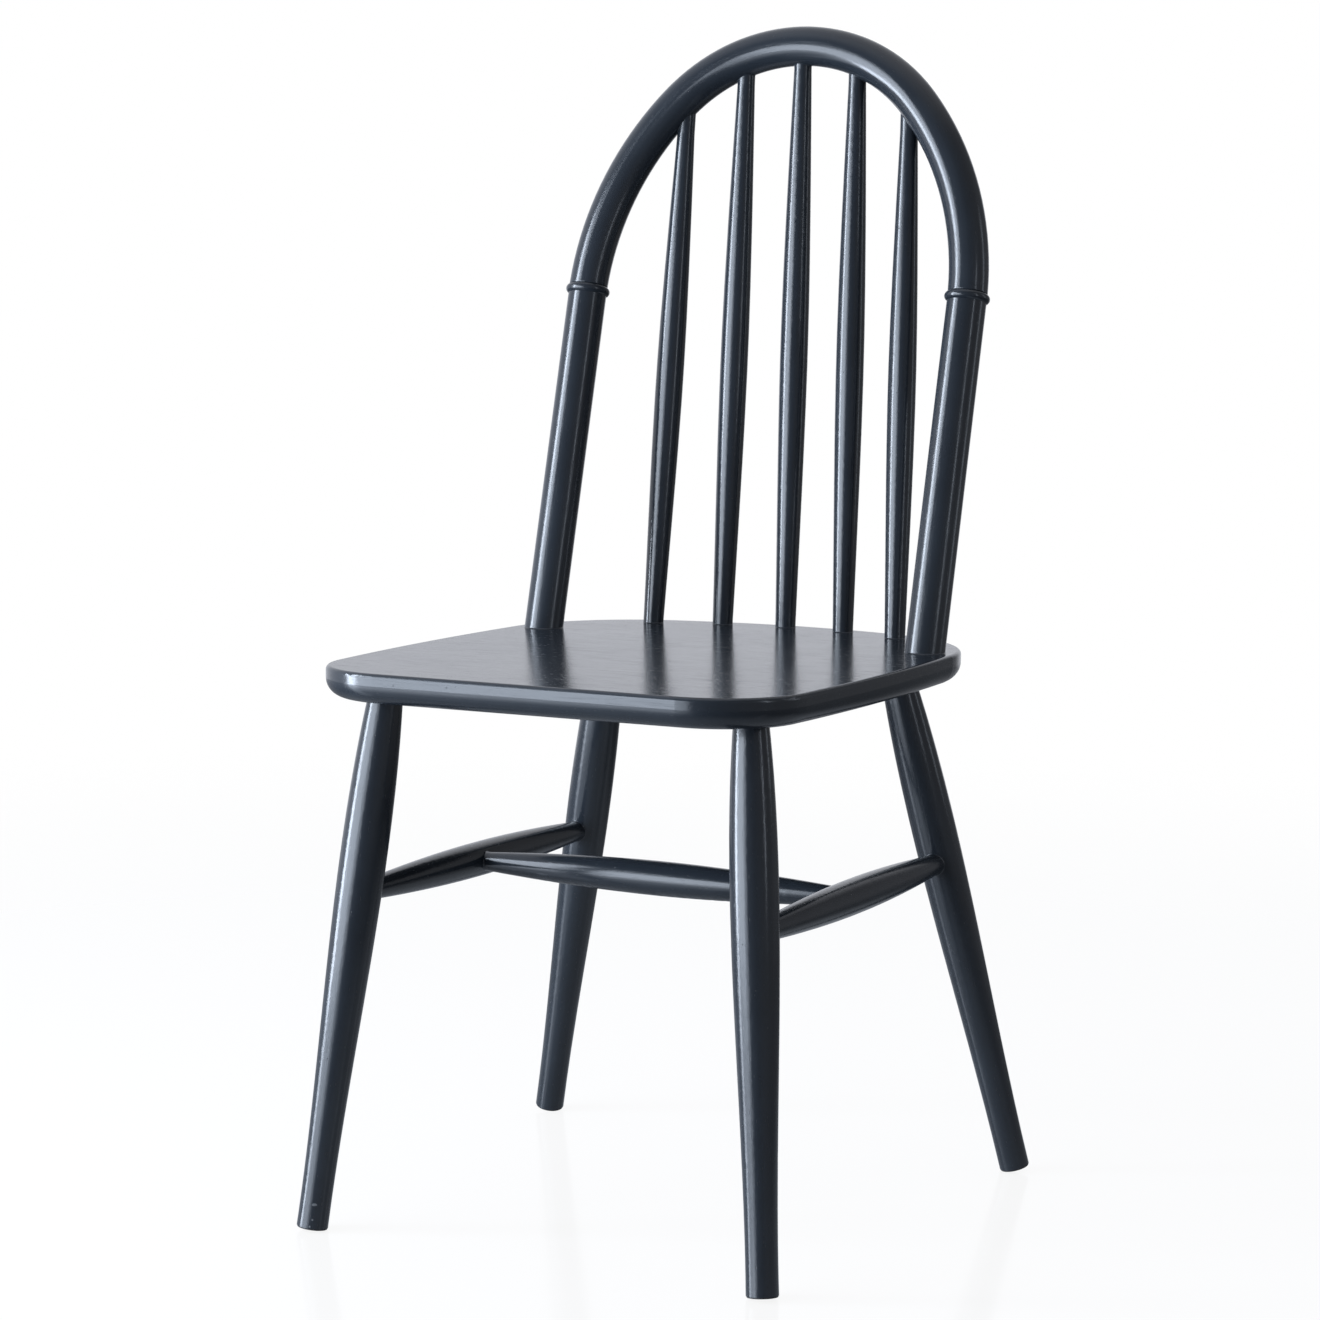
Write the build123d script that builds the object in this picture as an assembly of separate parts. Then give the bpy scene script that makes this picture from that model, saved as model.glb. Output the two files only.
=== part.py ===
from build123d import *
import math
import os

# Hoop-back wooden chair with turned legs, an H of stretchers and five spindles.
# Millimetres, +Z up, the sitter faces -Y. Left is -X, as seen from the front.
# The chair is drawn with the front edge of its seat on Y = 0, and is moved at the
# end so that the origin lies on the floor under the middle of its box.

# Seat board
seat_height = 450.0
seat_thickness = 24.5
seat_width = 419.0
seat_depth = 487.5
seat_widest_setback = 215.0
seat_side_radius = 2000.0
seat_rear_radius = 400.0
seat_front_corner = 75.0
seat_rear_corner = 135.0
seat_top_round = 3.5
seat_under_round = 15.0

# Legs: where their axes meet the underside of the seat, inwards from its edges, and how
# far outwards from there they stand on the floor
front_leg_side_inset = 50.7
front_leg_setback = 69.7
front_leg_side_splay = 38.6
front_leg_splay = 48.3
rear_leg_side_inset = 74.5
rear_leg_setback = 86.0
rear_leg_side_splay = 90.2
rear_leg_splay = 64.3
leg_foot_diameter = 25.0
leg_shin_diameter = 33.4
leg_swell_diameter = 37.0
leg_neck_diameter = 27.2
leg_shin_height = 200.0
leg_swell_height = 318.0
leg_tenon_diameter = 20.0

# Thin plastic glides under the feet
glide_diameter = 24.0
glide_thickness = 1.2
glide_round = 0.4
glide_pin_diameter = 3.0
glide_pin_length = 14.0

# Stretchers between the legs
front_stretcher_height = 268.5
rear_stretcher_height = 266.5
cross_stretcher_share = 0.48
stretcher_belly_diameter = 28.4
side_quarter_diameter = 24.8
side_end_diameter = 17.5
cross_quarter_diameter = 24.2
cross_end_diameter = 16.0
stretcher_reach = 4.0

# Back posts, each with a turned bead at its top
post_inset = 32.7
post_rear_inset = 126.5
post_diameter = 33.0
post_length = 300.0
post_tenon_diameter = 20.0
back_rake = 14.8
bead_diameter = 38.0
bead_height = 7.5

# Hoop of bent wood that joins the posts
hoop_diameter = 33.3
hoop_rise = 213.1
hoop_foot_lean = 1.7
hoop_shoulder_angle = 42.3
hoop_foot_round = 1.0
dowel_diameter = 12.0
dowel_length = 48.0

# Spindles
spindle_count = 5
spindle_end_gap = 62.7
spindle_top_end_gap = 73.2
spindle_rear_inset = 15.5
spindle_bow_radius = 255.0
spindle_base_diameter = 17.6
spindle_lower_diameter = 21.9
spindle_swell_diameter = 23.8
spindle_upper_diameter = 20.6
spindle_neck_diameter = 15.0
spindle_reach = 2.0

# Where along its length a spindle has its lower, swollen and upper diameters
spindle_lower_share = 0.28
spindle_swell_share = 0.50
spindle_upper_share = 0.76

# Fits: gap round a glued tenon, gap at its end, wood left past a socket in the
# seat, and the straight stretch of a tenon that stands clear of its socket
glue_gap = 0.1
socket_end_gap = 0.8
socket_floor = 7.0
neck_margin = 3.0

seat_underside = seat_height - seat_thickness
half_width = seat_width / 2
rake = math.radians(back_rake)
raked_up = Vector(0, math.sin(rake), math.cos(rake))


# Helpers for round pieces
def axis_plane(start, toward):
    """Plane at a point, with its normal towards another point."""
    return Plane(origin=start, z_dir=Vector(toward) - Vector(start))


def rod(diameter, start, toward, length):
    """Plain cylinder of a given length, from a point towards another."""
    cylinder = Cylinder(diameter / 2, length, align=(Align.CENTER, Align.CENTER, Align.MIN))
    return axis_plane(start, toward).location * cylinder


def turned(outline, start, toward):
    """Spins edges drawn in the XZ plane about Z, and stands the result on an axis."""
    first = outline[0] @ 0
    last = outline[-1] @ 1
    closing = Polyline(last, (0, 0, last.Z), (0, 0, first.Z), first)
    face = Face(Wire(list(outline) + list(closing.edges())))
    return axis_plane(start, toward).location * revolve(face, Axis.Z)


def upright(diameter, low, high):
    """Outline of a straight stretch."""
    return Line((diameter / 2, 0, low), (diameter / 2, 0, high))


def swelling(stations):
    """Outline of a stretch that swells and tapers through (height, diameter) stations."""
    return Spline(*[(diameter / 2, 0, height) for height, diameter in stations])


def rounded_rim(diameter, radius):
    """Outline of the round at the bottom rim of a turned piece."""
    inset = radius * (1 - math.sqrt(0.5))
    start = (diameter / 2 - radius, 0, 0)
    middle = (diameter / 2 - inset, 0, inset)
    end = (diameter / 2, 0, radius)
    return ThreePointArc(start, middle, end)


def slab(low, high):
    """Block wider than the chair, between two heights."""
    reach = 4 * (seat_width + seat_depth)
    block = Box(reach, reach, high - low, align=(Align.CENTER, Align.CENTER, Align.MIN))
    return Pos(0, 0, low) * block


# Sockets and tenons in the seat share their axes and depths
def socket_depth(along):
    """Depth of a socket in the seat, measured along its axis."""
    return (seat_thickness - socket_floor) / abs(along.Z)


def seat_socket(diameter, surface, along):
    """Blind hole that goes into the seat from a point of its surface."""
    outside = surface - along * seat_thickness
    return rod(diameter + 2 * glue_gap, outside, surface, seat_thickness + socket_depth(along))


def seat_tenon(diameter, surface, along, root):
    """Tenon that fills a socket in the seat, rooted some way outside the surface."""
    length = root + socket_depth(along) - socket_end_gap
    return rod(diameter, surface - along * root, surface, length)


# Axes of the legs, from the floor to the underside of the seat
class LegAxis:
    """Axis of one leg, whose square-cut foot and glide stand on the floor by their inner rim."""

    def __init__(self, top_x, top_y, splay_x, splay_y):
        self.top = Vector(top_x, top_y, seat_underside)
        self.floor = Vector(top_x + splay_x, top_y + splay_y, 0)
        self.run = self.top - self.floor
        self.along = self.run.normalized()
        self.lean = math.acos(self.along.Z)
        self.length = self.run.length
        rim = glide_diameter / 2 - glide_round
        rise = rim * math.sin(self.lean) + glide_round * (1 - math.cos(self.lean))
        self.glide = self.at_height(rise)
        self.foot = self.glide + self.along * glide_thickness

    def at_height(self, height):
        """Point of the axis at a height above the floor."""
        return self.floor + self.run * (height / self.run.Z)


sides = {"left": -1, "right": 1}
legs = {}
for name, side in sides.items():
    front_x = side * (half_width - front_leg_side_inset)
    rear_x = side * (half_width - rear_leg_side_inset)
    rear_y = seat_depth - rear_leg_setback
    legs["front_" + name] = LegAxis(
        front_x, front_leg_setback, side * front_leg_side_splay, -front_leg_splay
    )
    legs["rear_" + name] = LegAxis(rear_x, rear_y, side * rear_leg_side_splay, rear_leg_splay)

# Axes of the stretchers, between points on the axes of what they join
stretchers = {}
for name in sides:
    front_end = legs["front_" + name].at_height(front_stretcher_height)
    rear_end = legs["rear_" + name].at_height(rear_stretcher_height)
    stretchers[name] = (front_end, rear_end)
cross_ends = []
for front_end, rear_end in stretchers.values():
    cross_ends.append(front_end + (rear_end - front_end) * cross_stretcher_share)
stretchers["cross"] = tuple(cross_ends)

# Axes of the back posts, from the seat to the joint on top of the bead
post_x = half_width - post_inset
post_y = seat_depth - post_rear_inset
posts = {}
for name, side in sides.items():
    base = Vector(side * post_x, post_y, seat_height)
    posts[name] = (base, base + raked_up * post_length)

# Centreline of the hoop in the raked plane: two side arcs that lean inwards a little at
# their feet, and a crown arc tangent to both. The radii follow from the span and the rise.
foot_lean = math.radians(hoop_foot_lean)
shoulder = math.radians(hoop_shoulder_angle)
crown_across = math.cos(shoulder)
crown_up = 1 - math.sin(shoulder)
side_across = math.cos(foot_lean) - math.cos(shoulder)
side_up = math.sin(shoulder) - math.sin(foot_lean)
balance = crown_across * side_up - crown_up * side_across
crown_radius = (post_x * side_up - hoop_rise * side_across) / balance
side_arc_radius = (hoop_rise * crown_across - post_x * crown_up) / balance
shoulder_x = crown_radius * crown_across
side_arc_x = post_x - side_arc_radius * math.cos(foot_lean)
side_arc_rise = -side_arc_radius * math.sin(foot_lean)
hoop_base = (posts["left"][1] + posts["right"][1]) * 0.5


def hoop_point(x, rise):
    """Point of the raked plane, from the middle across and up from the beads."""
    return hoop_base + Vector(x, 0, 0) + raked_up * rise


def side_arc_point(side, angle):
    """Point of a side arc, by its lean to the post there."""
    x = side_arc_x + side_arc_radius * math.cos(angle)
    return hoop_point(side * x, side_arc_rise + side_arc_radius * math.sin(angle))


def hoop_rise_at(x):
    """Rise of the hoop's centreline at a distance from the middle."""
    if abs(x) <= shoulder_x:
        return hoop_rise - crown_radius + math.sqrt(crown_radius**2 - x**2)
    return side_arc_rise + math.sqrt(side_arc_radius**2 - (abs(x) - side_arc_x) ** 2)


def hoop_tangent_at(x):
    """Direction of the hoop's centreline at a distance from the middle."""
    if abs(x) <= shoulder_x:
        slope = -x / math.sqrt(crown_radius**2 - x**2)
    else:
        across = abs(x) - side_arc_x
        slope = -math.copysign(across, x) / math.sqrt(side_arc_radius**2 - across**2)
    return (Vector(1, 0, 0) + raked_up * slope).normalized()


# Axes of the spindles, from a bow of sockets in the seat to sockets in the hoop
class SpindleAxis:
    """Axis of one spindle, and where its straight neck starts under the hoop."""

    def __init__(self, index):
        share = 2 * index / (spindle_count - 1) - 1
        seat_x = share * (post_x - spindle_end_gap)
        hoop_x = share * (post_x - spindle_top_end_gap)
        bow = spindle_bow_radius - math.sqrt(spindle_bow_radius**2 - seat_x**2)
        self.seat = Vector(seat_x, seat_depth - spindle_rear_inset - bow, seat_height)
        self.hoop = hoop_point(hoop_x, hoop_rise_at(hoop_x))
        self.length = (self.hoop - self.seat).length
        self.along = (self.hoop - self.seat).normalized()
        meeting_cos = abs(self.along.dot(hoop_tangent_at(hoop_x)))
        meeting_sin = math.sqrt(1 - meeting_cos**2)
        rim = spindle_neck_diameter / 2 * meeting_cos / meeting_sin
        self.neck = hoop_diameter / 2 / meeting_sin + rim + neck_margin


spindles = [SpindleAxis(index) for index in range(spindle_count)]


# Pieces
def make_seat():
    """Board with bowed sides and rear, rounded edges and blind sockets."""
    shift = seat_side_radius - half_width
    side_circle = Circle(seat_side_radius)
    plan = Pos(0, seat_depth / 2) * Rectangle(2 * seat_width, seat_depth)
    plan &= Pos(shift, seat_widest_setback) * side_circle
    plan &= Pos(-shift, seat_widest_setback) * Rot(0, 0, 180) * side_circle
    plan &= Pos(0, seat_depth - seat_rear_radius) * Circle(seat_rear_radius)
    plan = fillet(plan.vertices().sort_by(Axis.Y)[:2], seat_front_corner)
    plan = fillet(plan.vertices().sort_by(Axis.Y)[-2:], seat_rear_corner)
    board = Pos(0, 0, seat_underside) * extrude(plan, seat_thickness)
    top_round = min(seat_top_round, 0.25 * seat_thickness)
    under_round = min(seat_under_round, 0.7 * seat_thickness)
    board = fillet(board.faces().sort_by(Axis.Z)[-1].edges(), top_round)
    board = fillet(board.faces().sort_by(Axis.Z)[0].edges(), under_round)
    for leg in legs.values():
        board -= seat_socket(leg_tenon_diameter, leg.top, leg.along)
    for base, _ in posts.values():
        board -= seat_socket(post_tenon_diameter, base, -raked_up)
    for spindle in spindles:
        board -= seat_socket(spindle_base_diameter, spindle.seat, -spindle.along)
    return board


def stretcher_socket(diameter, near, far, width):
    """Hole for a stretcher's end in the piece whose axis passes the near point."""
    back = (near - far).normalized() * (stretcher_reach + socket_end_gap)
    return rod(diameter + 2 * glue_gap, near + back, far, back.length + width)


def make_leg(place, side_name):
    """Turned leg with a foot cut square, a shoulder cut to the seat and a tenon."""
    leg = legs[place + "_" + side_name]
    spare = leg_neck_diameter * math.tan(leg.lean)
    stations = [
        ((leg.foot - leg.floor).length, leg_foot_diameter),
        (leg_shin_height, leg_shin_diameter),
        (leg_swell_height, leg_swell_diameter),
        (leg.length, leg_neck_diameter),
    ]
    outline = [
        swelling(stations),
        upright(leg_neck_diameter, leg.length, leg.length + spare),
    ]
    solid = turned(outline, leg.floor, leg.top)
    solid -= slab(seat_underside, seat_height)
    solid += seat_tenon(leg_tenon_diameter, leg.top, leg.along, leg_neck_diameter)
    near, far = stretchers[side_name]
    if place == "rear":
        near, far = far, near
    solid -= stretcher_socket(side_end_diameter, near, far, leg_swell_diameter)
    hole_length = glide_thickness + glide_pin_length + socket_end_gap
    solid -= rod(glide_pin_diameter + 2 * glue_gap, leg.glide, leg.top, hole_length)
    return solid


def make_glide(leg):
    """Thin plastic glide with its pin, flat on the end of a leg."""
    rim = glide_diameter / 2
    outline = [
        rounded_rim(glide_diameter, glide_round),
        upright(glide_diameter, glide_round, glide_thickness),
        Line((rim, 0, glide_thickness), (glide_pin_diameter / 2, 0, glide_thickness)),
        upright(glide_pin_diameter, glide_thickness, glide_thickness + glide_pin_length),
    ]
    return turned(outline, leg.glide, leg.top)


def make_stretcher(start, end, end_diameter, quarter_diameter, joined_diameter):
    """Turned stretcher, thickest in the middle, whose ends are its tenons."""
    along = (end - start).normalized()
    span = (end - start).length
    neck = joined_diameter / 2 + neck_margin
    stations = [
        (neck, end_diameter),
        (span / 4, quarter_diameter),
        (span / 2, stretcher_belly_diameter),
        (span * 3 / 4, quarter_diameter),
        (span - neck, end_diameter),
    ]
    outline = [
        upright(end_diameter, -stretcher_reach, neck),
        swelling(stations),
        upright(end_diameter, span - neck, span + stretcher_reach),
    ]
    return turned(outline, start, start + along)


def make_side_stretcher(name):
    """Side stretcher with a socket for the cross stretcher in its belly."""
    start, end = stretchers[name]
    solid = make_stretcher(start, end, side_end_diameter, side_quarter_diameter, leg_swell_diameter)
    near, far = stretchers["cross"]
    if name == "right":
        near, far = far, near
    return solid - stretcher_socket(cross_end_diameter, near, far, stretcher_belly_diameter)


def make_cross_stretcher():
    """Cross stretcher between the bellies of the side stretchers."""
    start, end = stretchers["cross"]
    return make_stretcher(
        start, end, cross_end_diameter, cross_quarter_diameter, stretcher_belly_diameter
    )


def dowel_hole(joint, direction):
    """Half of the hole for a hoop dowel, into the piece on one side of the joint."""
    deep_end = joint + direction * (dowel_length / 2 + socket_end_gap)
    length = dowel_length / 2 + socket_end_gap + dowel_diameter
    return rod(dowel_diameter + 2 * glue_gap, deep_end, joint, length)


def make_post(name):
    """Raked post with a half-round bead under the hoop and a tenon in the seat."""
    base, joint = posts[name]
    spare = post_diameter * math.tan(rake)
    bead_start = post_length - bead_height
    bead = ThreePointArc(
        (post_diameter / 2, 0, bead_start),
        (bead_diameter / 2, 0, bead_start + bead_height / 2),
        (hoop_diameter / 2, 0, post_length),
    )
    solid = turned([upright(post_diameter, -spare, bead_start), bead], base, joint)
    solid -= slab(seat_underside - post_diameter, seat_height)
    solid += seat_tenon(post_tenon_diameter, base, -raked_up, post_diameter)
    return solid - dowel_hole(joint, -raked_up)


def make_hoop():
    """Round bent hoop, cut square to the posts, with sockets for spindles and dowels."""
    right_foot = side_arc_point(1, 0)
    right_shoulder = side_arc_point(1, shoulder)
    left_shoulder = side_arc_point(-1, shoulder)
    left_foot = side_arc_point(-1, 0)
    path = Wire(
        [
            ThreePointArc(right_foot, side_arc_point(1, shoulder / 2), right_shoulder),
            ThreePointArc(right_shoulder, hoop_point(0, hoop_rise), left_shoulder),
            ThreePointArc(left_shoulder, side_arc_point(-1, shoulder / 2), left_foot),
        ]
    )
    section = axis_plane(right_foot, right_foot + raked_up) * Circle(hoop_diameter / 2)
    solid = sweep(section, path)
    solid -= axis_plane(hoop_base, hoop_base - raked_up).location * slab(0, hoop_rise)
    feet = solid.faces().sort_by(Axis(hoop_base, raked_up))[:2]
    solid = fillet(feet.edges(), hoop_foot_round)
    for spindle in spindles:
        deep_end = spindle.hoop + spindle.along * (spindle_reach + socket_end_gap)
        length = spindle_reach + socket_end_gap + 2 * hoop_diameter
        solid -= rod(spindle_neck_diameter + 2 * glue_gap, deep_end, spindle.seat, length)
    for _, joint in posts.values():
        solid -= dowel_hole(joint, raked_up)
    return solid


def make_dowel(name):
    """Hidden dowel between a post and the hoop."""
    joint = posts[name][1]
    return rod(dowel_diameter, joint - raked_up * (dowel_length / 2), joint, dowel_length)


def make_spindle(spindle):
    """Turned spindle that swells in the middle, with straight ends for tenons."""
    tenon = socket_depth(spindle.along) - socket_end_gap
    body = spindle.length - spindle.neck
    stations = [
        (neck_margin, spindle_base_diameter),
        (body * spindle_lower_share, spindle_lower_diameter),
        (body * spindle_swell_share, spindle_swell_diameter),
        (body * spindle_upper_share, spindle_upper_diameter),
        (body, spindle_neck_diameter),
    ]
    outline = [
        upright(spindle_base_diameter, -tenon, neck_margin),
        swelling(stations),
        upright(spindle_neck_diameter, body, spindle.length + spindle_reach),
    ]
    return turned(outline, spindle.seat, spindle.hoop)


# The whole chair, by node name
pieces = {"seat": make_seat(), "hoop": make_hoop(), "cross_stretcher": make_cross_stretcher()}
for name in sides:
    for place in ("front", "rear"):
        pieces[place + "_" + name + "_leg"] = make_leg(place, name)
        pieces[place + "_" + name + "_glide"] = make_glide(legs[place + "_" + name])
    pieces[name + "_side_stretcher"] = make_side_stretcher(name)
    pieces[name + "_back_post"] = make_post(name)
    pieces[name + "_hoop_dowel"] = make_dowel(name)
for number, spindle in enumerate(spindles, 1):
    pieces["spindle_" + str(number)] = make_spindle(spindle)

# Origin on the floor, under the middle of the box
boxes = [solid.bounding_box() for solid in pieces.values()]
low = Vector(*[min(getattr(box.min, axis) for box in boxes) for axis in "XYZ"])
high = Vector(*[max(getattr(box.max, axis) for box in boxes) for axis in "XYZ"])
to_origin = Pos(-(low.X + high.X) / 2, -(low.Y + high.Y) / 2, -low.Z)

os.makedirs("parts", exist_ok=True)
for name, solid in pieces.items():
    export_step(to_origin * solid, "parts/" + name + ".step")
print("box", [round(value, 2) for value in high - low])
print("moved by", [round(value, 3) for value in to_origin.position])
print("crown radius", round(crown_radius, 2), "side arc radius", round(side_arc_radius, 2))
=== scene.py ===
# %% [markdown]
# A painted spindle chair
# The chair's shapes come from a CAD model that is already the right size. They could be built again here
# as meshes, but then two models would have to agree. So this lesson leaves those shapes alone and gives
# them what the CAD model lacks: a satin paint with wood grain under it, the little beads of paint that
# gather where one stick enters another, a floor, lamps and a camera.

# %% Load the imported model
import math

import bmesh
import bpy
from mathutils import Matrix, Vector
from mathutils.bvhtree import BVHTree


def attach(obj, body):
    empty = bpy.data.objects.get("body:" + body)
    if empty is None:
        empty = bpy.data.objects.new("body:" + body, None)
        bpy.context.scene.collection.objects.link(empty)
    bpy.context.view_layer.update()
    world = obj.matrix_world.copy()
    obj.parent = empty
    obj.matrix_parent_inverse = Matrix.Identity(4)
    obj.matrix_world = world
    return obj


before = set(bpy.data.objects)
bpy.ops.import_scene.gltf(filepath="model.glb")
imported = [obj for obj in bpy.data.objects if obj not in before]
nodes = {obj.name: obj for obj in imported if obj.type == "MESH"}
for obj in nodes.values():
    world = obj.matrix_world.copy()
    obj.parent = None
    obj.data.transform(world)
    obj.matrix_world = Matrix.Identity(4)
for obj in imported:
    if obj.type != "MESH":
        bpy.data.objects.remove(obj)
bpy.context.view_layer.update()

print("pieces in the chair:", len(nodes))

# %% [markdown]
# The camera
# A product picture is taken from well back with a long lens, so the legs hardly converge. The camera
# could be placed by eye, but here its distance, height and turn were worked out from where the feet,
# the seat's edge and the hoop stand in the picture. It leans by half a degree, as the real one did.

# %% Camera
MM = 0.001
AIM = Vector((7.22, -36.36, 447.51)) * MM
CAMERA_TURN = math.radians(26.766)
CAMERA_RISE = math.radians(6.772)
CAMERA_LEAN = math.radians(0.598)
CAMERA_DISTANCE = 2.932
LENS = 99.83
SENSOR = 36.0


def camera_axes(turn, rise, lean):
    """Right, up and backward directions of a camera that looks at the chair's front from one side."""
    back = Vector((math.sin(turn) * math.cos(rise), -math.cos(turn) * math.cos(rise), math.sin(rise)))
    right = Vector((math.cos(turn), math.sin(turn), 0))
    up = back.cross(right)
    return (math.cos(lean) * right + math.sin(lean) * up,
            math.cos(lean) * up - math.sin(lean) * right, back)


def add_camera():
    """The camera, aimed at a point near the seat."""
    right, up, back = camera_axes(CAMERA_TURN, CAMERA_RISE, CAMERA_LEAN)
    data = bpy.data.cameras.new("product_camera")
    data.sensor_fit = "HORIZONTAL"
    data.sensor_width = SENSOR
    data.lens = LENS
    camera = bpy.data.objects.new("product_camera", data)
    bpy.context.scene.collection.objects.link(camera)
    turned = Matrix((right, up, back)).transposed().to_4x4()
    camera.matrix_world = Matrix.Translation(AIM + CAMERA_DISTANCE * back) @ turned
    bpy.context.scene.camera = camera
    return camera


camera = add_camera()
print("camera stands at", [round(c, 3) for c in camera.matrix_world.translation])

# %% [markdown]
# A short way to write shader nodes
# Materials here are built from nodes. They could be wired one socket at a time, but that makes long
# scripts. One helper adds a node, sets it up and connects it, so that each finish below can be read from
# top to bottom like a recipe.

# %% Node helpers
WHITE = (1, 1, 1, 1)


def add_node(tree, kind, inputs=None, **settings):
    """Adds a shader node; an input may be a plain value or the socket that feeds it."""
    made = tree.nodes.new("ShaderNode" + kind)
    for name, value in settings.items():
        setattr(made, name, value)
    for socket, value in (inputs or {}).items():
        if isinstance(value, bpy.types.NodeSocket):
            tree.links.new(value, made.inputs[socket])
        else:
            made.inputs[socket].default_value = value
    return made


def math_node(tree, operation, *values):
    """One step of arithmetic on numbers or sockets."""
    return add_node(tree, "Math", dict(enumerate(values)), operation=operation).outputs[0]


def plus_share(tree, total, part, amount):
    """A total with so much of another value added to it."""
    return math_node(tree, "ADD", total, math_node(tree, "MULTIPLY", part, amount))


def remap(tree, value, low, high, to_low=0.0, to_high=1.0):
    """Stretches a range of values smoothly onto another and clamps what lies outside."""
    made = add_node(tree, "MapRange", {"Value": value, "From Min": low, "From Max": high,
                                       "To Min": to_low, "To Max": to_high},
                    interpolation_type="SMOOTHSTEP")
    return made.outputs["Result"]


def vector_node(tree, operation, *vectors):
    """One step of arithmetic on vectors; gives the node's outputs, a vector and a number."""
    return add_node(tree, "VectorMath", dict(enumerate(vectors)), operation=operation).outputs


def scaled(tree, vector, factors):
    """A vector multiplied by three factors, to stretch a texture."""
    return vector_node(tree, "MULTIPLY", vector, factors)[0]


def shifted(tree, vector, offset):
    """A vector moved by an offset, so that two textures don't share one pattern."""
    return vector_node(tree, "ADD", vector, offset)[0]


def noise(tree, vector, scale, detail=2.0, roughness=0.5):
    """Soft noise between nought and one."""
    made = add_node(tree, "TexNoise", {"Vector": vector, "Scale": scale, "Detail": detail,
                                       "Roughness": roughness})
    return made.outputs["Fac"]


def blend_colour(tree, factor, first, second):
    """A colour between two others."""
    made = add_node(tree, "Mix", {0: factor, 6: first, 7: second}, data_type="RGBA")
    return made.outputs[2]


def blend_shader(tree, factor, first, second):
    """A shader between two others."""
    return add_node(tree, "MixShader", {0: factor, 1: first, 2: second}).outputs[0]


def object_place(tree):
    """Where a point lies on the piece, in metres."""
    return add_node(tree, "TexCoord").outputs["Object"]


def seen_by_camera(tree):
    """One for what the camera sees directly, nought for what the paint mirrors."""
    return add_node(tree, "LightPath").outputs["Is Camera Ray"]


print("node helpers ready")

# %% [markdown]
# The floor and the white room
# The chair stands in a white studio. A real backdrop could be built, but it would hide the chair from
# behind, so the camera simply sees a white world, and a floor disc that fades out towards its rim. To
# the camera the floor glows, as an overexposed white sheet does, so only faint shadows are left on it.
# To the paint it is a faintly glowing polished sheet with painted light: a bright painted patch of lamp
# light at the foot of the big lamp, a paler painted glow round the chair, and faint further off. It mirrors
# the lamps too, and that carries their streaks down to the feet.

# %% Floor disc
FLOOR_RADIUS = 3.0
FLOOR_SEGMENTS = 128
FLOOR_DROP = 0.3 * MM


def add_floor():
    """A flat disc just under the feet."""
    mesh = bpy.data.meshes.new("floor")
    disc = bmesh.new()
    bmesh.ops.create_circle(disc, cap_ends=True, segments=FLOOR_SEGMENTS, radius=FLOOR_RADIUS)
    disc.to_mesh(mesh)
    disc.free()
    floor = bpy.data.objects.new("floor", mesh)
    floor.location.z = -FLOOR_DROP
    bpy.context.scene.collection.objects.link(floor)
    return floor


floor = add_floor()
print("floor disc radius", FLOOR_RADIUS, "m")

# %% Floor as the camera sees it
FLOOR_PALE = (0.84, 0.84, 0.84, 1)
FLOOR_WHITE = (0.88, 0.88, 0.88, 1)
PAPER_SCALE = 3.0
FLOOR_GLOW = 0.93
FLOOR_POLISH = 0.05
FLOOR_SHINE_ROUGHNESS = 0.12
FLOOR_FADE_FROM = 1.1
FLOOR_FADE_TO = 0.9 * FLOOR_RADIUS


def floor_for_camera(tree, place, distance):
    """An overexposed white sheet with a faint shine, fading out towards its rim."""
    paper = blend_colour(tree, noise(tree, place, PAPER_SCALE), FLOOR_PALE, FLOOR_WHITE)
    matt = add_node(tree, "BsdfDiffuse", {"Color": paper}).outputs[0]
    glow = add_node(tree, "Emission", {"Color": WHITE, "Strength": 1.0}).outputs[0]
    shine = add_node(tree, "BsdfGlossy", {"Color": WHITE, "Roughness": FLOOR_SHINE_ROUGHNESS}).outputs[0]
    sheet = blend_shader(tree, FLOOR_POLISH, blend_shader(tree, FLOOR_GLOW, matt, glow), shine)
    far = remap(tree, distance, FLOOR_FADE_FROM, FLOOR_FADE_TO)
    return blend_shader(tree, far, sheet, add_node(tree, "BsdfTransparent").outputs[0])


print("floor fades from", FLOOR_FADE_FROM, "to", round(FLOOR_FADE_TO, 2), "m")

# %% Floor as the paint mirrors it, glowing with painted light
# colour and strengths of the floor's painted light, a glow that the paint mirrors and that lights the chair
# from below
PAINTED_FLOOR_LIGHT_TINT = (0.80, 0.88, 1, 1)
PAINTED_NEAR_GLOW = 0.40
NEAR_GLOW_CORE, NEAR_GLOW_RIM = 0.45, 1.0
PAINTED_FAR_GLOW = 0.08
LAMP_FOOT = Vector((-1.15, -1.65, 0))
PAINTED_LAMP_POOL = 2.7
POOL_CORE, POOL_RIM = 0.3, 1.4
FLOOR_MIRROR_ROUGHNESS = 0.10
FLOOR_IOR = 1.5


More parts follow.
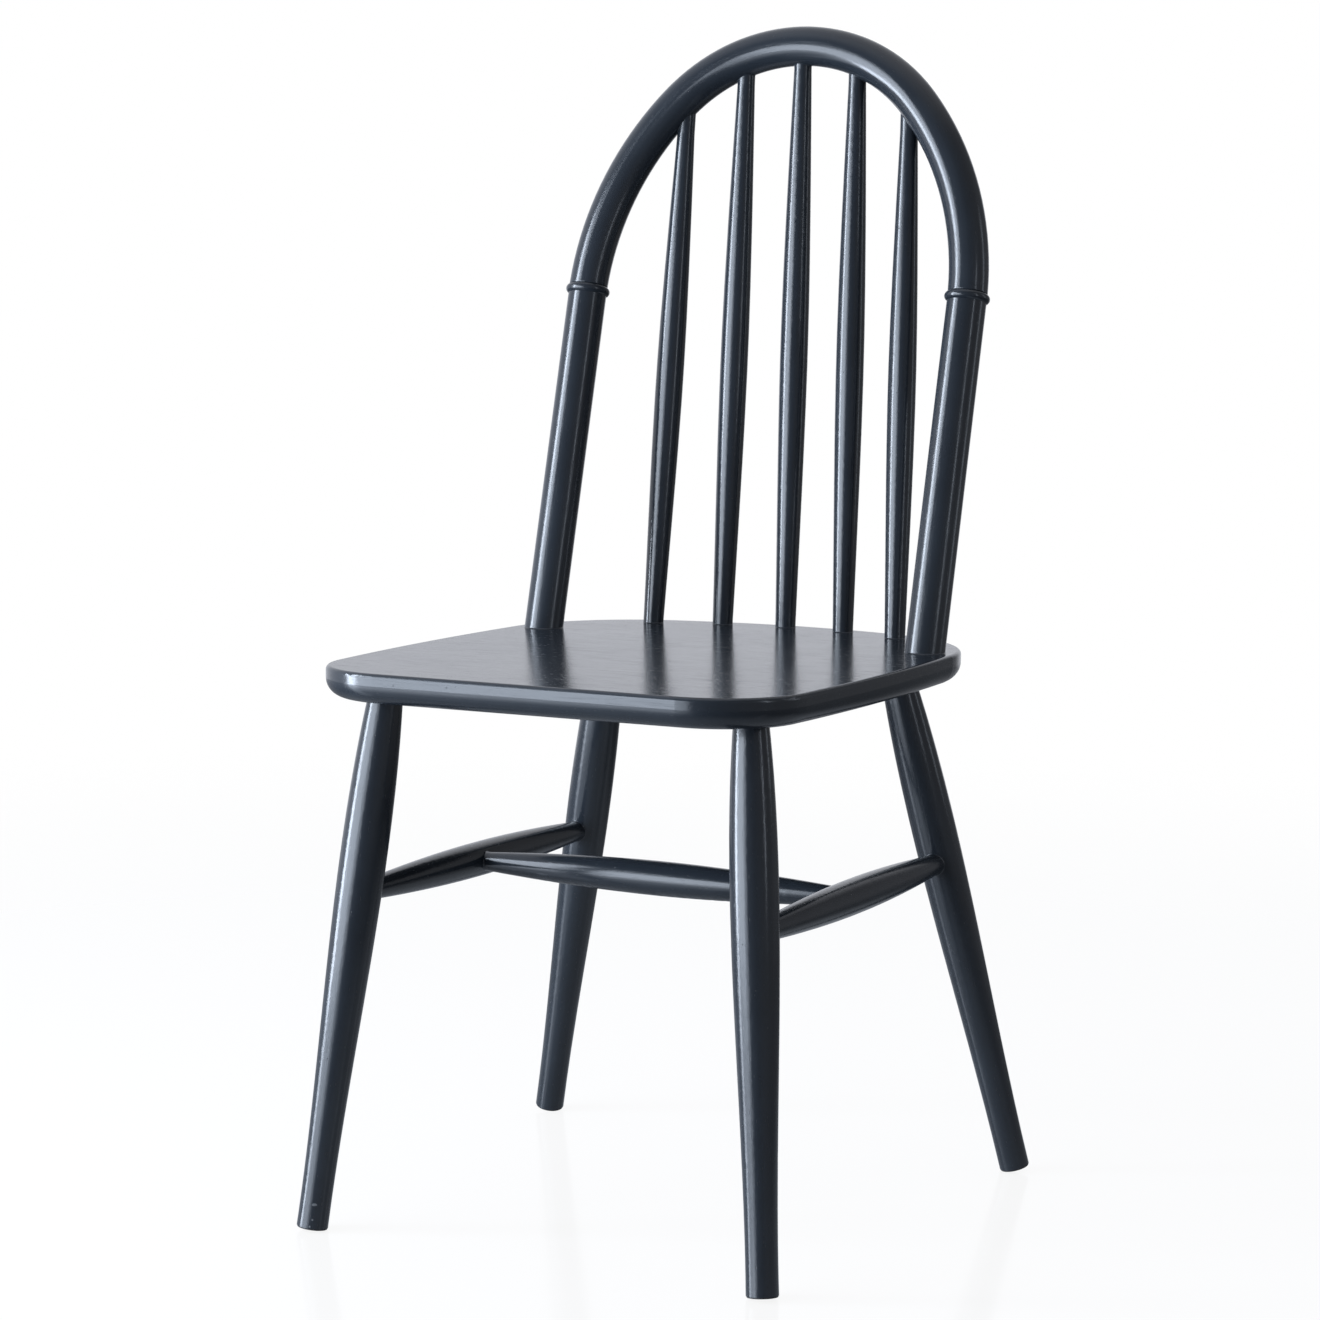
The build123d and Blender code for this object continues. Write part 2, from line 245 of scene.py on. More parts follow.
def floor_for_paint(tree, place, distance):
    """A sheet that glows with painted light: brightest at the big lamp's foot, paler round the chair, faint
    further off; it mirrors the lamps at a flat angle.
    """
    # painted light: the glow is brightest where the big lamp would light the floor, paler round the chair
    from_lamp = vector_node(tree, "DISTANCE", place, LAMP_FOOT)["Value"]
    painted_pool = remap(tree, from_lamp, POOL_CORE, POOL_RIM, PAINTED_LAMP_POOL, PAINTED_FAR_GLOW)
    near_glow = remap(tree, distance, NEAR_GLOW_CORE, NEAR_GLOW_RIM, PAINTED_NEAR_GLOW, PAINTED_FAR_GLOW)
    level = math_node(tree, "MAXIMUM", painted_pool, near_glow)
    painted_floor_light = add_node(tree, "Emission", {"Color": PAINTED_FLOOR_LIGHT_TINT, "Strength": level}).outputs[0]
    mirror = add_node(tree, "BsdfGlossy", {"Color": WHITE, "Roughness": FLOOR_MIRROR_ROUGHNESS})
    grazing = add_node(tree, "Fresnel", {"IOR": FLOOR_IOR}).outputs[0]
    return blend_shader(tree, grazing, painted_floor_light, mirror.outputs[0])


def floor_finish():
    """White floor: one sheet for the camera, another for the paint."""
    material = bpy.data.materials.new("white_floor")
    material.use_nodes = True
    tree = material.node_tree
    tree.nodes.clear()
    place = object_place(tree)
    distance = vector_node(tree, "LENGTH", place)["Value"]
    either = blend_shader(tree, seen_by_camera(tree), floor_for_paint(tree, place, distance),
                          floor_for_camera(tree, place, distance))
    add_node(tree, "OutputMaterial", {"Surface": either})
    return material


floor.data.materials.append(floor_finish())
print("floor finish:", floor.data.materials[0].name)

# %% [markdown]
# What the paint mirrors
# Glossy paint shows the room more than its own colour. The seat, seen almost edge on, mirrors the white
# backdrop behind the chair; the top of the hoop mirrors a pale ceiling; and the right-hand side of every
# stick is dark, because that side of the studio is. Walls could be built for this, but they would stand
# in the way of the other views. So the world gets a dim base and a few soft patches of light.

# %% White world
ROOM_TINT = (0.906, 0.930, 1, 1)
ROOM_BASE = 0.13
# direction of the patch, its rim and its even core in degrees from that direction, its brightness
PATCHES = {
    "backdrop": (Vector((-0.64, 0.766, 0.10)), 54, 30, 0.98),
    "left wall": (Vector((-0.95, 0.20, 0.10)), 55, 25, 0.9),
    "ceiling": (Vector((-0.35, 0.25, 0.9)), 64, 25, 0.85),
    "right wall": (Vector((0.98, 0.17, 0.10)), 78, 20, 0.30),
}


def add_world():
    """A world that is white to the camera and a room with soft patches to the paint."""
    world = bpy.data.worlds.new("white_studio")
    bpy.context.scene.world = world
    world.use_nodes = True
    tree = world.node_tree
    tree.nodes.clear()
    direction = add_node(tree, "TexCoord").outputs["Generated"]
    strength = ROOM_BASE
    for middle, rim, core, level in PATCHES.values():
        toward = vector_node(tree, "DOT_PRODUCT", direction, middle.normalized())["Value"]
        patch = remap(tree, toward, math.cos(math.radians(rim)), math.cos(math.radians(core)),
                      ROOM_BASE, level)
        strength = math_node(tree, "MAXIMUM", strength, patch)
    room = add_node(tree, "Background", {"Color": ROOM_TINT, "Strength": strength}).outputs[0]
    white = add_node(tree, "Background", {"Color": WHITE, "Strength": 1.0}).outputs[0]
    either = blend_shader(tree, seen_by_camera(tree), room, white)
    add_node(tree, "OutputWorld", {"Surface": either})


add_world()
bpy.context.scene.view_settings.view_transform = "Standard"
print("patches of light in the room:", ", ".join(PATCHES))

# %% [markdown]
# The lamps
# On the round sticks a long pale streak runs down the left side, about a fifth of the way in. A streak
# there means a big soft lamp well to the left of the camera, reaching almost to the floor. One large area
# lamp could do it, but the streak is brightest at its outer edge and dies away softly at its inner one.
# So a tall bright strip stands outside the lamp and a dim rim inside it, and the lamp is narrower high
# up, which lets the light fade along the hoop. Two faint streaks come from weak strips on the right.

# %% Lamps
DAYLIGHT = (0.78, 0.87, 1.0)
# turn in degrees (left of the front is negative), distance, lower and upper end and width in metres,
# radiance
SOFTBOXES = {
    "left_softbox": (-33.5, 2.2, 0.02, 1.22, 1.30, 9.0),
    "high_left_softbox": (-42, 2.2, 1.22, 1.90, 0.66, 9.0),
    "left_softbox_rim": (-11.0, 2.2, 0.02, 1.22, 0.46, 4.0),
    "outer_left_softbox": (-58.5, 2.2, 0.02, 1.85, 0.50, 23.5),
    "right_strip": (77, 1.8, 0.42, 1.60, 0.12, 4.5),
    "right_back_strip": (122, 1.8, 0.45, 1.60, 0.25, 1.5),
}


def add_softbox(name, turn, distance, low, high, width, radiance):
    """An upright lamp that faces the chair."""
    data = bpy.data.lights.new(name, "AREA")
    data.shape = "RECTANGLE"
    data.size, data.size_y = width, high - low
    data.energy = radiance * math.pi * width * (high - low)
    data.color = DAYLIGHT
    lamp = bpy.data.objects.new(name, data)
    side = math.radians(turn)
    lamp.location = (distance * math.sin(side), -distance * math.cos(side), (low + high) / 2)
    level_aim = Vector((0, 0, lamp.location.z))
    lamp.rotation_euler = (level_aim - lamp.location).to_track_quat("-Z", "Y").to_euler()
    lamp.visible_camera = False
    bpy.context.scene.collection.objects.link(lamp)
    print(name, round(data.energy, 1), "W")


for name, settings in SOFTBOXES.items():
    add_softbox(name, *settings)

# %% [markdown]
# Satin paint over wood
# The chair is sprayed in a dark slate blue. The paint is thin, so the wood's pores show through as fine
# lines along the grain, with a pinhole here and there, and the sprayed film has a faint orange-peel
# skin. Every piece could have a paint of its own, but then a change of tone would have to be made many
# times. So it is one node group. It is fed a position in millimetres whose Z runs along the grain, and
# the same recipe serves a flat seat, a turned leg and a bent hoop.

# %% Marks in the paint
# scales are per millimetre, and a stretch below one draws a mark out along the grain
MOTTLE_SCALE = 0.012
LINE_SCALE, LINE_STRETCH = 0.85, (1, 1, 0.035)
LINE_FROM, LINE_TO = 0.52, 0.70
STREAK_SCALE, STREAK_STRETCH, STREAK_SHIFT = 0.42, (1, 1, 0.06), (11, 53, 2)
PORE_STRETCH = (0.75, 0.75, 0.10)
PORE_CORE, PORE_RIM = 0.10, 0.26
PORE_PICK_FROM, PORE_PICK_TO = 0.55, 0.75
HOLE_SCALE = 0.085
HOLE_CORE, HOLE_RIM = 0.030, 0.055
PEEL_SCALE, PEEL_SHIFT = 0.38, (40, 7, 13)
SPECKLE_SCALE, SPECKLE_SHIFT = 1.9, (3, 90, 31)


def cells(group, place, scale):
    """Scattered cells, each with a distance from its middle and a colour of its own."""
    return add_node(group, "TexVoronoi", {"Vector": place, "Scale": scale},
                    voronoi_dimensions="3D", feature="F1").outputs


def paint_marks(group, place):
    """What shows in the paint, each mark from nought to one."""
    grain = noise(group, scaled(group, place, LINE_STRETCH), LINE_SCALE, detail=4.0, roughness=0.62)
    drawn_out = shifted(group, scaled(group, place, STREAK_STRETCH), STREAK_SHIFT)
    pore_cells = cells(group, scaled(group, place, PORE_STRETCH), 1.0)
    pore_pick = add_node(group, "SeparateColor", {0: pore_cells["Color"]}).outputs[0]
    pore_spots = remap(group, pore_cells["Distance"], PORE_CORE, PORE_RIM, 1.0, 0.0)
    picked = remap(group, pore_pick, PORE_PICK_FROM, PORE_PICK_TO)
    hole_cells = cells(group, place, HOLE_SCALE)
    return {
        "mottle": noise(group, place, MOTTLE_SCALE, detail=3.0, roughness=0.6),
        "lines": remap(group, grain, LINE_FROM, LINE_TO),
        "streaks": noise(group, drawn_out, STREAK_SCALE),
        "pores": math_node(group, "MULTIPLY", pore_spots, picked),
        "holes": remap(group, hole_cells["Distance"], HOLE_CORE, HOLE_RIM, 1.0, 0.0),
        "peel": noise(group, shifted(group, place, PEEL_SHIFT), PEEL_SCALE),
        "speckle": noise(group, shifted(group, place, SPECKLE_SHIFT), SPECKLE_SCALE, roughness=0.7),
    }


print("pinholes lie about", round(1 / HOLE_SCALE), "mm apart")

# %% Paint recipe
PAINT = (0.0190, 0.0238, 0.0306, 1)
PAINT_DEEP = (0.0160, 0.0200, 0.0258, 1)
# painted shade: pores and pinholes get a darker colour, as if shade lay in their hollows
HOLLOW_SHADE = (0.0080, 0.0100, 0.0140, 1)
TONE_FROM, TONE_TO = 0.3, 0.7
PORE_SHADE = 0.6
# roughness of the smoothest film, and what each mark adds to it
FILM_ROUGHNESS = 0.12
MARK_ROUGHNESS = {"mottle": 0.05, "speckle": 0.06, "lines": 0.07, "dark": 0.2}
# height of each mark in millimetres; a hollow is negative
MARK_HEIGHTS = {"peel": 0.022, "speckle": 0.005, "streaks": 0.024,
                "lines": -0.013, "pores": -0.022, "holes": -0.10}


def paint_recipe():
    """Node group: a position along the grain in, colour, roughness and height in millimetres out."""
    group = bpy.data.node_groups.new("satin_paint_on_wood", "ShaderNodeTree")
    group.interface.new_socket("Along grain", in_out="INPUT", socket_type="NodeSocketVector")
    for name, kind in (("Colour", "NodeSocketColor"), ("Roughness", "NodeSocketFloat"),
                       ("Height", "NodeSocketFloat")):
        group.interface.new_socket(name, in_out="OUTPUT", socket_type=kind)
    marks = paint_marks(group, group.nodes.new("NodeGroupInput").outputs["Along grain"])
    # painted shade in the pores and pinholes, on top of their sunk height
    shaded_pores = math_node(group, "MULTIPLY", marks["pores"], PORE_SHADE)
    marks["dark"] = math_node(group, "MAXIMUM", shaded_pores, marks["holes"])
    tone = blend_colour(group, remap(group, marks["mottle"], TONE_FROM, TONE_TO), PAINT_DEEP, PAINT)
    colour = blend_colour(group, marks["dark"], tone, HOLLOW_SHADE)
    rough, height = FILM_ROUGHNESS, 0.0
    for mark, amount in MARK_ROUGHNESS.items():
        rough = plus_share(group, rough, marks[mark], amount)
    for mark, amount in MARK_HEIGHTS.items():
        height = plus_share(group, height, marks[mark], amount)
    out = group.nodes.new("NodeGroupOutput")
    for name, socket in (("Colour", colour), ("Roughness", rough), ("Height", height)):
        group.links.new(socket, out.inputs[name])
    return group


paint_group = paint_recipe()
print("paint recipe nodes:", len(paint_group.nodes))

# %% [markdown]
# Which way the grain runs
# A turned stick is cut along the grain, so its lines follow its own axis. That axis could be typed in
# for every stick, but it is already in the mesh: it is the direction in which the points spread most.
# So it is measured there, and stays right if a stick is ever turned another way.

# %% Find a stick's axis
AXIS_ROUNDS = 40
POINT_STEP = 7


def middle_and_axis(points):
    """Middle of a cloud of points and the direction in which it is longest."""
    low = Vector([min(p[i] for p in points) for i in range(3)])
    high = Vector([max(p[i] for p in points) for i in range(3)])
    middle = (low + high) / 2
    axis = (high - low).normalized()
    for _ in range(AXIS_ROUNDS):
        pull = Vector((0, 0, 0))
        for p in points[::POINT_STEP]:
            off = p - middle
            pull += off * off.dot(axis)
        axis = pull.normalized()
    return middle, axis if axis.z >= 0 else -axis


stick_axes = {}
for name, piece in nodes.items():
    stick_axes[name] = middle_and_axis([v.co.copy() for v in piece.data.vertices])
print("leg axis:", [round(c, 3) for c in stick_axes["front_left_leg"][1]])

# %% [markdown]
# Paint on the straight pieces
# Legs, stretchers, posts and spindles are turned from straight wood, and the seat is a flat board whose
# grain runs from side to side. A texture could be unwrapped onto each of them, but it would show seams.
# So the shader turns each point's own position until Z lies along the grain, and feeds that to the
# recipe. Height becomes bump, which is enough for marks thinner than a hair.

# %% A painted material
PAINT_IOR = 1.5
MM_UNITS = (MM, MM, MM)


def new_material(name):
    """A material with only a principled shader and its output."""
    material = bpy.data.materials.new(name)
    material.use_nodes = True
    tree = material.node_tree
    tree.nodes.clear()
    shader = add_node(tree, "BsdfPrincipled")
    add_node(tree, "OutputMaterial", {"Surface": shader.outputs["BSDF"]})
    return material, tree, shader


def wire_finish(tree, shader, colour, rough, height, depth):
    """Connects a colour, a roughness and a height, whose unit is a depth in metres, to the shader."""
    bump = add_node(tree, "Bump", {"Height": height, "Distance": depth, "Strength": 1.0})
    tree.links.new(colour, shader.inputs["Base Color"])
    tree.links.new(rough, shader.inputs["Roughness"])
    tree.links.new(bump.outputs["Normal"], shader.inputs["Normal"])


def in_local_frame(tree, place, middle, rotation, units):
    """A position as seen from a turned frame with its own middle and units."""
    return add_node(tree, "Mapping", {"Vector": place, "Location": middle, "Rotation": rotation,
                                      "Scale": units}, vector_type="TEXTURE").outputs[0]


def paint_material(name, grain, wear=None):
    """Satin paint; one function gives the position along the grain, another may wear the paint."""
    material, tree, shader = new_material(name)
    recipe = tree.nodes.new("ShaderNodeGroup")
    recipe.node_tree = paint_group
    tree.links.new(grain(tree), recipe.inputs["Along grain"])
    colour, rough, height = recipe.outputs
    if wear:
        colour, rough, height = wear(tree, colour, rough, height)
    wire_finish(tree, shader, colour, rough, height, MM)
    shader.inputs["IOR"].default_value = PAINT_IOR
    return material


print("paint is ready to go on")

# %% Paint along a straight grain
CHIPPED_LEG = "front_left_leg"
SEAT_GRAIN = (Vector((0, 0, 0.44)), Vector((1, 0, 0)))


def straight_grain(middle, axis):
    """A function that gives the position in millimetres whose Z runs along an axis through a point."""
    turn = axis.to_track_quat("Z", "Y").to_euler()
    return lambda tree: in_local_frame(tree, object_place(tree), middle, turn, MM_UNITS)


def is_straight_stick(name):
    """True for every turned stick, but not for the hoop, the dowels and the glides."""
    return name.endswith(("_leg", "_stretcher", "_post")) or name.startswith("spindle")


painted = {}
for name in nodes:
    if is_straight_stick(name) and name != CHIPPED_LEG:
        painted[name] = paint_material("paint_" + name, straight_grain(*stick_axes[name]))
painted["seat"] = paint_material("paint_seat", straight_grain(*SEAT_GRAIN))
for name, material in painted.items():
    nodes[name].material_slots[0].material = material
print("painted pieces:", len(painted))

# %% [markdown]
# Chips near one foot
# The feet of a chair get knocked. Low on the front left leg the paint has three small chips where a pale
# undercoat shows: a wide one and two specks under it. They could be cut into the mesh, but they are only
# as deep as the paint. So each is an ellipse on the front of the leg, given a ragged rim by a little
# noise, paler than the paint and sunk into it.

# %% Chip one leg
UNDERCOAT = (0.105, 0.112, 0.120, 1)
CHIP_HEIGHT = -0.12
CHIP_ROUGHNESS = 0.35
CHIP_FACING = math.radians(26.766)
CHIP_DEPTH = 6 * MM
RAGGED_SCALE, RAGGED_AMOUNT = 1400.0, 1.3
CHIP_CORE, CHIP_RIM = 1.2, 1.7
# middle of the chip, half its width and half its height
CHIPS = {
    "wide chip": (Vector((-189.6, -241.8, 23.0)) * MM, 2.6 * MM, 1.1 * MM),
    "upper speck": (Vector((-190.2, -244.2, 11.0)) * MM, 0.9 * MM, 0.8 * MM),
    "lower speck": (Vector((-192.4, -244.6, 5.5)) * MM, 0.7 * MM, 0.9 * MM),
}


def chipped_spots(tree):
    """One where the paint is chipped, nought elsewhere."""
    place = object_place(tree)
    ragged = math_node(tree, "MULTIPLY", noise(tree, place, RAGGED_SCALE), RAGGED_AMOUNT)
    worn = 0.0
    for spot, half_width, half_height in CHIPS.values():
        local = in_local_frame(tree, place, spot, (0, 0, CHIP_FACING), (half_width, CHIP_DEPTH, half_height))
        reach = vector_node(tree, "LENGTH", local)["Value"]
        chip = remap(tree, math_node(tree, "ADD", reach, ragged), CHIP_CORE, CHIP_RIM, 1.0, 0.0)
        worn = math_node(tree, "MAXIMUM", worn, chip)
    return worn


def chip_paint(tree, colour, rough, height):
    """Bares the undercoat where the paint is chipped."""
    worn = chipped_spots(tree)
    return (blend_colour(tree, worn, colour, UNDERCOAT), plus_share(tree, rough, worn, CHIP_ROUGHNESS),
            plus_share(tree, height, worn, CHIP_HEIGHT))


painted[CHIPPED_LEG] = paint_material("chipped_paint_" + CHIPPED_LEG,
                                      straight_grain(*stick_axes[CHIPPED_LEG]), chip_paint)
nodes[CHIPPED_LEG].material_slots[0].material = painted[CHIPPED_LEG]
print("chips on", CHIPPED_LEG + ":", len(CHIPS))

# %% [markdown]
# Grain round the bend
# The hoop is a straight stick that was steamed and bent, so its grain follows the bend: one arc over the
# crown and a flatter arc down each side. A straight grain would be simpler, but its lines would run
# across the hoop at the sides. So the shader works out how far along the bend a point lies and how far it
# is from the middle line, and hands that to the same paint recipe.

# %% Paint the hoop
BACK_RAKE = math.radians(14.8)
CROWN_CENTRE = Vector((0, 199.6, 801.7)) * MM
# radii and distances from here on are in millimetres
CROWN_RADIUS = 149.3
SIDE_RADIUS = 255.35
SIDE_CENTRE_ACROSS = 78.4
SIDE_CENTRE_DOWN = 71.4
CROWN_HALF_ANGLE = math.atan2(SIDE_CENTRE_ACROSS, SIDE_CENTRE_DOWN)
SIDE_WAY_START = (CROWN_RADIUS - SIDE_RADIUS) * CROWN_HALF_ANGLE


def blend_number(tree, factor, first, second):
    """A number between two others."""
    return add_node(tree, "Mix", {0: factor, 2: first, 3: second}).outputs[0]


def turn_and_offset(tree, out, rise, radius):
    """Where a point lies by an arc's centre: its turn, and how far outside the arc it is."""
    squares = math_node(tree, "ADD", math_node(tree, "POWER", out, 2.0),
                        math_node(tree, "POWER", rise, 2.0))
    offset = math_node(tree, "SUBTRACT", math_node(tree, "SQRT", squares), radius)
    return math_node(tree, "ARCTAN2", out, rise), offset


def along_the_bend(tree):
    """Position in millimetres whose Z runs round the hoop."""
    flat = in_local_frame(tree, object_place(tree), CROWN_CENTRE, (-BACK_RAKE, 0, 0), MM_UNITS)
    across, depth, rise = add_node(tree, "SeparateXYZ", {0: flat}).outputs
    side = math_node(tree, "SIGN", across)
    out = math_node(tree, "ABSOLUTE", across)
    crown_turn, crown_off = turn_and_offset(tree, out, rise, CROWN_RADIUS)
    side_turn, side_off = turn_and_offset(tree, math_node(tree, "ADD", out, SIDE_CENTRE_ACROSS),
                                          math_node(tree, "ADD", rise, SIDE_CENTRE_DOWN), SIDE_RADIUS)
    crown_way = math_node(tree, "MULTIPLY", crown_turn, CROWN_RADIUS)
    side_way = math_node(tree, "ADD", math_node(tree, "MULTIPLY", side_turn, SIDE_RADIUS), SIDE_WAY_START)
    on_side = math_node(tree, "GREATER_THAN", crown_turn, CROWN_HALF_ANGLE)
    way = math_node(tree, "MULTIPLY", blend_number(tree, on_side, crown_way, side_way), side)
    off = blend_number(tree, on_side, crown_off, side_off)
    return add_node(tree, "CombineXYZ", {0: off, 1: depth, 2: way}).outputs[0]


painted["hoop"] = paint_material("paint_hoop", along_the_bend)
nodes["hoop"].material_slots[0].material = painted["hoop"]
print("hoop crown spans", round(2 * math.degrees(CROWN_HALF_ANGLE), 1), "degrees")

# %% [markdown]
# Glides under the feet
# Under each foot sits a small moulded plastic glide. Plain black would do from afar, but the glides rub on
# the floor. So the plastic gets the fine grain of its mould, and grey rubbed marks that are a little
# rougher.

# %% Plastic glides
GLIDE_BLACK = (0.012, 0.012, 0.013, 1)
GLIDE_RUBBED = (0.045, 0.044, 0.043, 1)
GLIDE_GRAIN_SCALE, GLIDE_GRAIN_DEPTH = 2600.0, 0.03 * MM
RUB_SCALE, RUB_STRETCH = 420.0, (1, 6, 1)
RUB_FROM, RUB_TO = 0.55, 0.75
GLIDE_ROUGHNESS, RUB_ROUGHNESS = 0.5, 0.2


def dress(ending, material):
    """Gives one finish to every piece whose name ends in a word; says how many."""
    found = [piece for name, piece in nodes.items() if name.endswith(ending)]
    for piece in found:
        piece.material_slots[0].material = material
    return len(found)


def glide_finish():
    """Black moulded plastic, rubbed grey in places."""
    material, tree, shader = new_material("black_plastic_glide")
    place = object_place(tree)
    grains = noise(tree, place, GLIDE_GRAIN_SCALE, detail=3.0, roughness=0.6)
    rub = noise(tree, scaled(tree, place, RUB_STRETCH), RUB_SCALE)
    colour = blend_colour(tree, remap(tree, rub, RUB_FROM, RUB_TO), GLIDE_BLACK, GLIDE_RUBBED)
    rough = plus_share(tree, GLIDE_ROUGHNESS, rub, RUB_ROUGHNESS)
    wire_finish(tree, shader, colour, rough, grains, GLIDE_GRAIN_DEPTH)
    return material


print("glides finished:", dress("_glide", glide_finish()))

# %% [markdown]
# Dowels inside the hoop
# A bare beech dowel joins each post to the hoop inside the bead. It is hidden, and could be left as it
# is, but it is a separate piece and may be looked at alone. Beech is pale and pinkish brown, with short
# dark flecks along the grain, so two stretched noises are enough.

# %% Bare beech dowels
BEECH_DARK = (0.50, 0.33, 0.19, 1)
BEECH_PALE = (0.62, 0.44, 0.27, 1)
BEECH_FLECK = (0.33, 0.19, 0.10, 1)
RING_SCALE, RING_STRETCH = 420.0, (1, 1, 0.06)
FLECK_SCALE, FLECK_STRETCH, FLECK_DEPTH = 2100.0, (1, 1, 0.15), 0.05 * MM
FLECK_FROM, FLECK_TO, FLECK_DARKNESS = 0.6, 0.72, 0.6
BEECH_ROUGHNESS, RING_ROUGHNESS = 0.55, 0.15


def beech_finish():
    """Bare beech with year rings and flecks along the grain."""
    material, tree, shader = new_material("bare_beech")
    place = object_place(tree)
    rings = noise(tree, scaled(tree, place, RING_STRETCH), RING_SCALE, detail=3.0)
    flecks = noise(tree, scaled(tree, place, FLECK_STRETCH), FLECK_SCALE)
    fleck_share = remap(tree, flecks, FLECK_FROM, FLECK_TO, 0.0, FLECK_DARKNESS)
    colour = blend_colour(tree, fleck_share, blend_colour(tree, rings, BEECH_DARK, BEECH_PALE), BEECH_FLECK)
    rough = plus_share(tree, BEECH_ROUGHNESS, rings, RING_ROUGHNESS)
    wire_finish(tree, shader, colour, rough, flecks, FLECK_DEPTH)
    return material


print("dowels finished:", dress("_dowel", beech_finish()))

# %% [markdown]
# Beads of paint in the joints
# Where a stick enters the seat, a leg or the hoop, sprayed paint fills the corner with a small hollow
# bead. A torus could stand in for it, but most of these joints are skewed. So rays are cast round the
# stick to find both surfaces, and a ring with a hollow face is drawn between them.

# %% Rays onto the chair's surfaces
surfaces = {name: BVHTree.FromPolygons([v.co.copy() for v in piece.data.vertices],
                                       [tuple(f.vertices) for f in piece.data.polygons])
            for name, piece in nodes.items()}
print("surfaces to cast rays on:", len(surfaces))

# %% One section of a bead
ARC_STEPS = 5
RADIUS_ROUNDS = 3
SKIN = 0.15 * MM
FAR = 0.2
BEAD_SINK = 0.12 * MM
BEAD_ROOT = 4 * BEAD_SINK


def stick_radius(stick, spot, outward):
    """How far a stick's surface is from its axis at a spot, in one direction."""
    hit = surfaces[stick].ray_cast(spot + outward * FAR, -outward)[0]
    return None if hit is None else (hit - spot).dot(outward)


def bead_section(stick, host, start, way, outward, guess, size):
    """Corner points of the bead in the half plane that holds the stick's axis, or None."""
    radius = guess
    for _ in range(RADIUS_ROUNDS):
        hit = surfaces[host].ray_cast(start + outward * (radius + SKIN), way)[0]
        if hit is None:
            return None
        along = (hit - start).dot(way)
        measured = stick_radius(stick, start + way * (along - size), outward)
        radius = measured if measured is not None else radius
    foot = surfaces[host].ray_cast(start + outward * (radius + size), way)[0]
    if foot is None:
        return None
    foot_along = (foot - start).dot(way)
    top = start + way * (along - size) + outward * (radius - BEAD_SINK)
    corner = start + way * along + outward * radius
    edge = start + way * (foot_along + BEAD_SINK) + outward * (radius + size)
    root = start + way * (along + BEAD_ROOT) + outward * (radius - BEAD_ROOT)
    arc = []
    for step in range(ARC_STEPS + 1):
        t = step / ARC_STEPS
        arc.append((1 - t) ** 2 * top + 2 * t * (1 - t) * corner + t ** 2 * edge)
    return arc + [root]


print("points in a bead's section:", ARC_STEPS + 2)

# %% One bead of paint
RING_STEPS = 72
SHARP_ANGLE = math.radians(50)


def bead_mesh(name, sections):
    """A closed ring through a round of sections."""
    ring = bmesh.new()
    rows = [[ring.verts.new(p) for p in section] for section in sections]
    for row, following in zip(rows, rows[1:] + rows[:1]):
        for k in range(len(row)):
            n = (k + 1) % len(row)
            ring.faces.new((row[k], row[n], following[n], following[k]))
    bmesh.ops.recalc_face_normals(ring, faces=ring.faces)
    mesh = bpy.data.meshes.new(name)
    ring.to_mesh(mesh)
    ring.free()
    mesh.shade_smooth()
    mesh.set_sharp_from_angle(angle=SHARP_ANGLE)
    return mesh


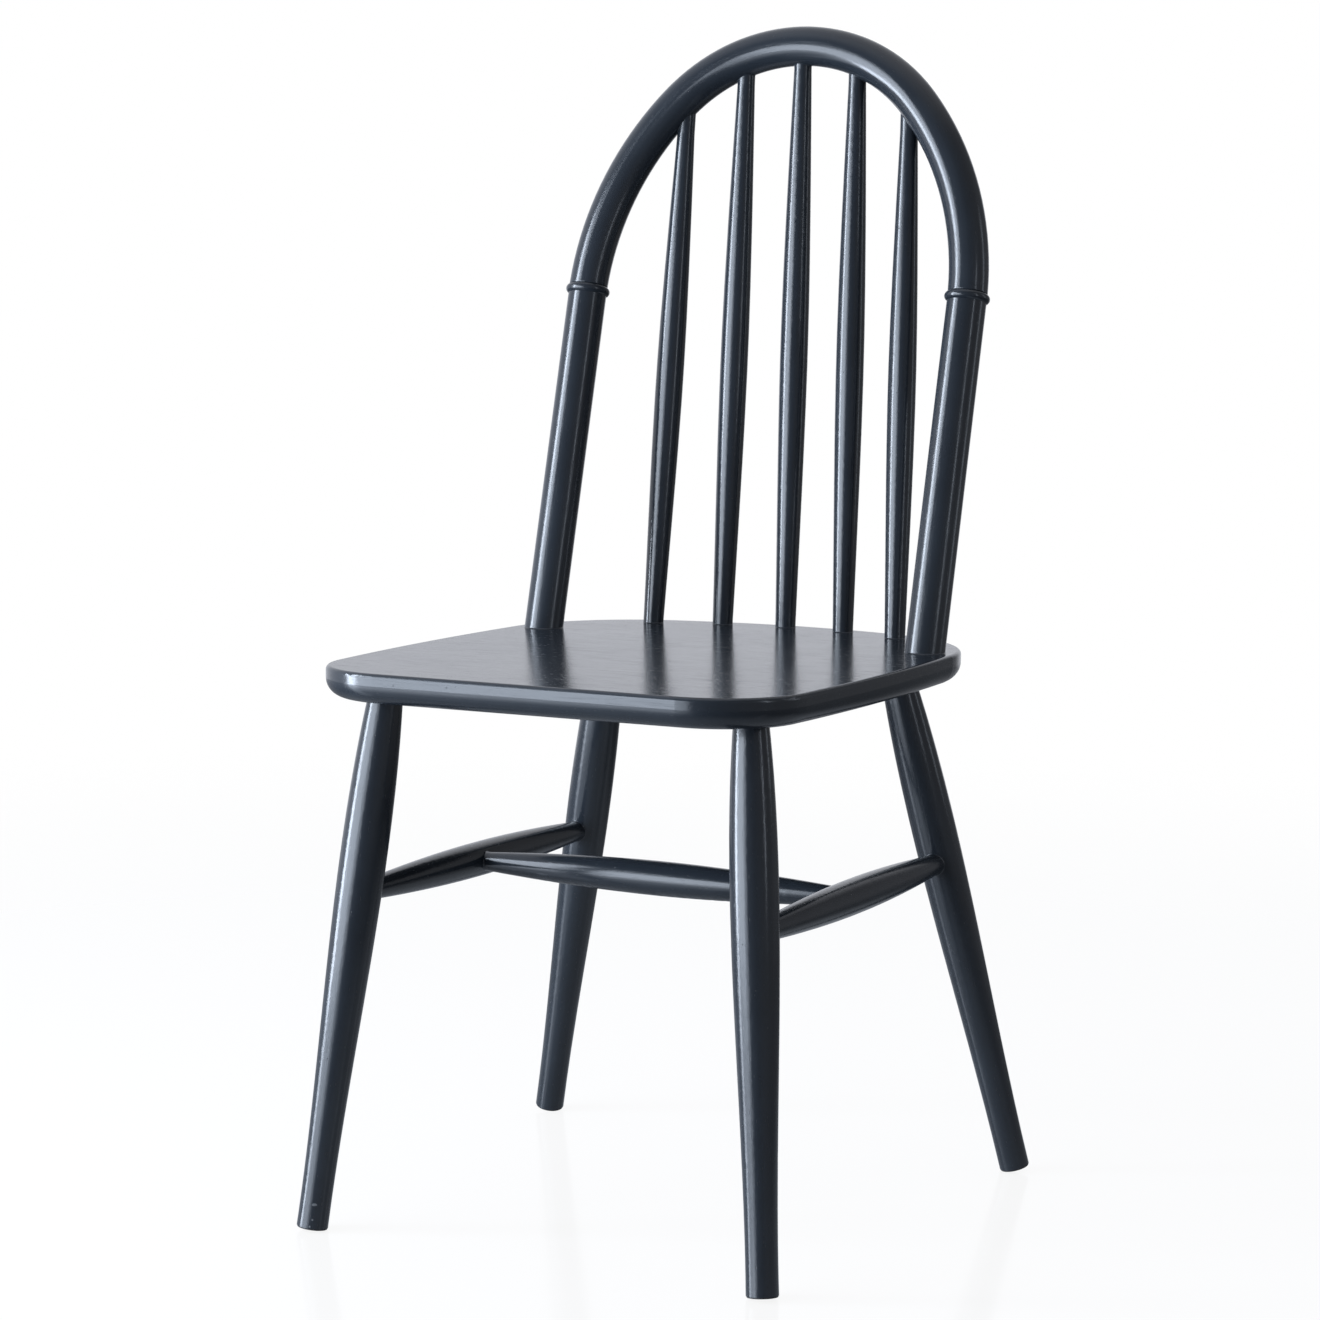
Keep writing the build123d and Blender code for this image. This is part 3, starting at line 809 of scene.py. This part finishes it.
def paint_bead(name, stick, host, way_sign, guess, size):
    """Ring of paint where a stick enters its host; way_sign says towards which of its ends."""
    middle, axis = stick_axes[stick]
    way = axis * way_sign
    across = way.orthogonal().normalized()
    other = way.cross(across)
    sections = []
    for step in range(RING_STEPS):
        turn = 2 * math.pi * step / RING_STEPS
        outward = math.cos(turn) * across + math.sin(turn) * other
        sections.append(bead_section(stick, host, middle, way, outward, guess, size))
    if None in sections:
        raise ValueError("no surface found for " + name)
    mesh = bead_mesh(name, sections)
    mesh.materials.append(painted[stick])
    bead = bpy.data.objects.new(name, mesh)
    bpy.context.scene.collection.objects.link(bead)
    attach(bead, "root")
    return bead


print("steps round a bead:", RING_STEPS)

# %% Beads on the seat and the hoop
UP, DOWN = 1, -1
# rough radius of the stick at the joint and size of the bead
SPINDLE_FOOT = (9 * MM, 1.1 * MM)
SPINDLE_HEAD = (8 * MM, 1.1 * MM)
POST_FOOT = (17 * MM, 1.3 * MM)
LEG_HEAD = (14 * MM, 1.4 * MM)
SPINDLES = 5

beads = []
for number in range(1, SPINDLES + 1):
    spindle = "spindle_%d" % number
    beads.append(paint_bead("bead_%s_seat" % spindle, spindle, "seat", DOWN, *SPINDLE_FOOT))
    beads.append(paint_bead("bead_%s_hoop" % spindle, spindle, "hoop", UP, *SPINDLE_HEAD))
for side in ("left", "right"):
    post = side + "_back_post"
    beads.append(paint_bead("bead_%s_seat" % post, post, "seat", DOWN, *POST_FOOT))
    for end in ("front", "rear"):
        leg = "%s_%s_leg" % (end, side)
        beads.append(paint_bead("bead_%s_seat" % leg, leg, "seat", UP, *LEG_HEAD))
print("beads on the seat and the hoop:", len(beads))

# %% Beads at the stretchers
SIDE_STRETCHER_END = (9 * MM, 1.2 * MM)
CROSS_STRETCHER_END = (8 * MM, 1.2 * MM)

cross_axis = stick_axes["cross_stretcher"][1]
for side, to_side in (("left", -1), ("right", 1)):
    stretcher = side + "_side_stretcher"
    axis = stick_axes[stretcher][1]
    for end, to_end in (("front", -1), ("rear", 1)):
        leg = "%s_%s_leg" % (end, side)
        way_sign = to_end if axis.y > 0 else -to_end
        beads.append(paint_bead("bead_%s_%s" % (stretcher, end), stretcher, leg, way_sign,
                                *SIDE_STRETCHER_END))
    way_sign = to_side if cross_axis.x > 0 else -to_side
    beads.append(paint_bead("bead_cross_stretcher_" + side, "cross_stretcher", stretcher, way_sign,
                            *CROSS_STRETCHER_END))
print("beads of paint:", len(beads))
